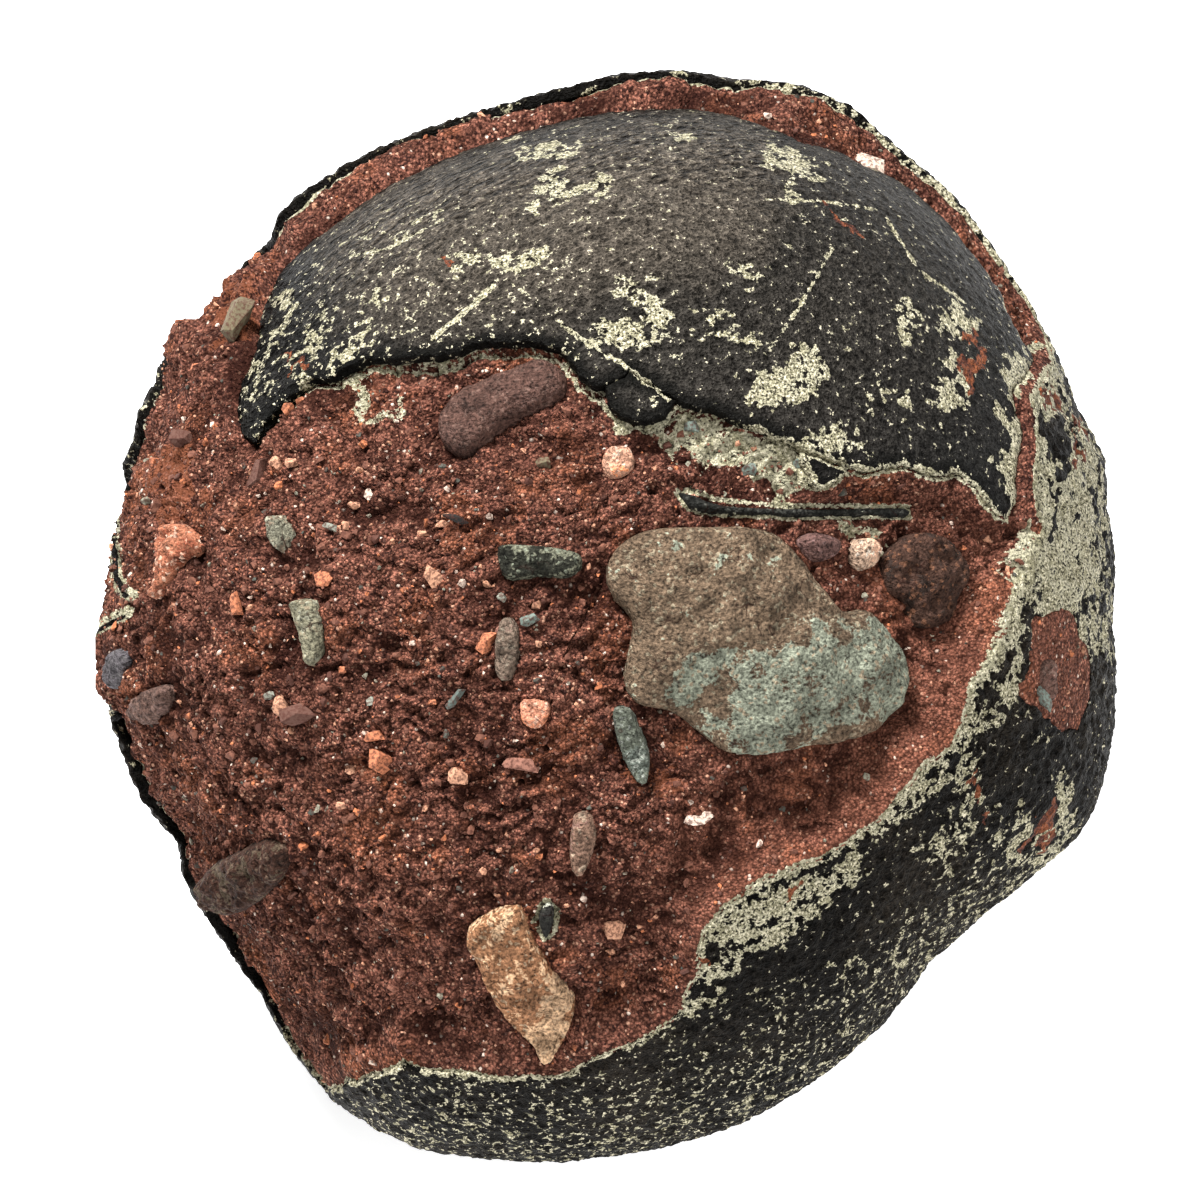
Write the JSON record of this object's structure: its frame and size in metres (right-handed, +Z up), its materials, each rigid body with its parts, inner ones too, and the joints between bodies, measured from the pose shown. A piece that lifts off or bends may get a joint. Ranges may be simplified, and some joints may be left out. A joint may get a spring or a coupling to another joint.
{
  "type": "fossil dinosaur egg",
  "caption": "Fossil dinosaur egg in broken dark eggshell, filled with red pebbly sandstone, with a sunken plate of shell on its open face.",
  "frame": {"origin": "middle of the small flat spot that the egg rests on", "axes": "+Z up; the broken face looks towards -Y and up, with +X to its right"},
  "size_m": [0.1532, 0.1598, 0.1486],
  "materials": {
    "matrix": "rough, granular",
    "shell": "satin, granular, with pale crust",
    "pebble_olive": "fine grained, matt",
    "pebble_brown": "smooth, satin",
    "clast_tan": "matt",
    "clast_grey": "matt",
    "clast_dark": "matt",
    "clast_pink": "crystalline, matt"
  },
  "bodies": {
    "root": {"matrix": "matrix", "outer_shell": "shell", "sunken_shell": "shell", "sunken_shell_right_flake": "shell", "sunken_shell_left_flake": "shell", "shell_sliver": "shell", "shell_chip": "shell", "large_pebble": "pebble_olive", "brown_pebble": "pebble_brown", "purple_pebble": "pebble_brown", "tan_slab": "clast_tan", "green_clast": "clast_grey", "slate_clast": "clast_grey", "pale_clast": "clast_grey", "grey_clast": "clast_grey", "grey_rim_cobble": "clast_grey", "dark_cobble": "clast_dark", "dark_right_cobble": "clast_dark", "brown_wedge": "clast_dark", "brown_oblong": "clast_dark", "grey_oblong": "clast_dark", "window_pebble": "clast_dark", "granite_clast": "clast_pink", "pink_pebble": "clast_pink", "rose_clast": "clast_pink", "orange_granule": "clast_pink"}
  },
  "joints": []
}
